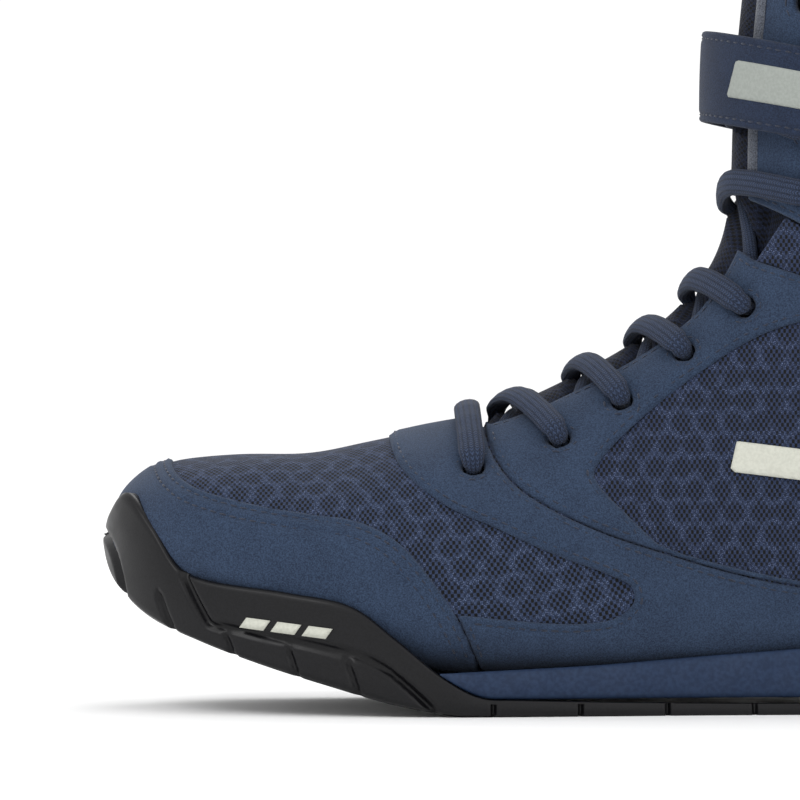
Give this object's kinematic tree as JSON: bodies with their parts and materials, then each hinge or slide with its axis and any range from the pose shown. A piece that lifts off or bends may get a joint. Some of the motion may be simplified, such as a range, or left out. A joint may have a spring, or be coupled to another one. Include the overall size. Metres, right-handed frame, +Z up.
{
  "type": "boxing boot",
  "caption": "Laced high-top boxing boot with a mesh upper, microsuede overlays, wrapped rubber toe, thin flat sole and a hook-and-loop ankle strap.",
  "frame": {"origin": "on the ground plane under the middle of the boot's length, on the sole's flat rest face", "axes": "+Z up, -X towards the toe, +X towards the heel, -Y towards the lateral side and +Y towards the medial side"},
  "size_m": [0.2927, 0.104, 0.25],
  "materials": {
    "rubber": "matte black moulded rubber",
    "foam": "satin navy moulded foam",
    "suede": "matte navy microsuede",
    "mesh": "matte navy spacer mesh",
    "lining": "dark brushed lining over foam",
    "board": "off-white stitched insole board",
    "sockliner": "dark navy cloth on foam",
    "stiffener": "off-white thermoplastic sheet",
    "lace": "navy braided polyester",
    "aglet": "navy plastic sleeve",
    "strap": "navy microsuede over webbing",
    "hook": "dark hook tape",
    "loop": "dark loop tape",
    "piping": "grey-blue woven edge tape",
    "print": "pale grey moulded print"
  },
  "bodies": {
    "foot": {"outsole": "rubber", "midsole": "foam", "strobel_board": "board", "toe_overlay": "suede", "vamp_mesh": "mesh", "toe_puff": "stiffener", "vamp_lining": "lining", "forefoot_band": "suede", "eyestay_lateral": "suede", "eyestay_medial": "suede", "quarter_mesh_lateral": "mesh", "quarter_mesh_medial": "mesh", "quarter_lining_lateral": "lining", "quarter_lining_medial": "lining", "heel_overlay": "suede", "heel_counter": "stiffener", "quarter_emblem": "print", "sidewall_badge": "print", "tongue": "mesh", "lace": "lace", "ankle_gusset": "mesh", "gusset_lining": "lining"},
    "insole": {"sockliner": "sockliner"},
    "shaft": {"shaft_panel_lateral": "suede", "shaft_panel_medial": "suede", "shaft_lining_lateral": "lining", "shaft_lining_medial": "lining", "collar_binding": "suede", "backstay": "suede", "shaft_piping_lateral": "piping", "shaft_piping_medial": "piping", "strap_anchor": "strap", "loop_pad": "loop", "aglet_lateral": "aglet", "aglet_medial": "aglet"},
    "tongue_end": {"tongue_tip": "mesh", "tongue_label": "print"},
    "strap": {"ankle_strap": "strap", "hook_pad": "hook", "strap_badge": "print"},
    "tab": {"pull_tab": "strap"}
  },
  "joints": [
    {"name": "ankle_flex", "type": "hinge", "parent": "foot", "child": "shaft", "pos_m": [0.088, 0, 0.116], "axis": [0, 1, 0], "range_deg": [-14, 18], "stiffness_Nm_per_rad": 1.5, "deforming": ["ankle_gusset", "gusset_lining", "tongue", "lace"]},
    {"name": "sockliner_lift", "type": "hinge", "parent": "foot", "child": "insole", "pos_m": [-0.1285, 0, 0.0334], "axis": [0, -1, 0], "range_deg": [0, 6]},
    {"name": "strap_open", "type": "hinge", "parent": "shaft", "child": "strap", "pos_m": [0.069, 0.0428, 0.1714], "axis": [-0.2079, 0, -0.9781], "range_deg": [0, 100]},
    {"name": "tongue_fold", "type": "hinge", "parent": "shaft", "child": "tongue_end", "pos_m": [0.0475, 0, 0.2361], "axis": [0, -1, 0], "range_deg": [0, 70], "stiffness_Nm_per_rad": 0.006},
    {"name": "tab_flip", "type": "hinge", "parent": "shaft", "child": "tab", "pos_m": [0.1423, 0, 0.2141], "axis": [0, 1, 0], "range_deg": [0, 80], "stiffness_Nm_per_rad": 0.006}
  ]
}
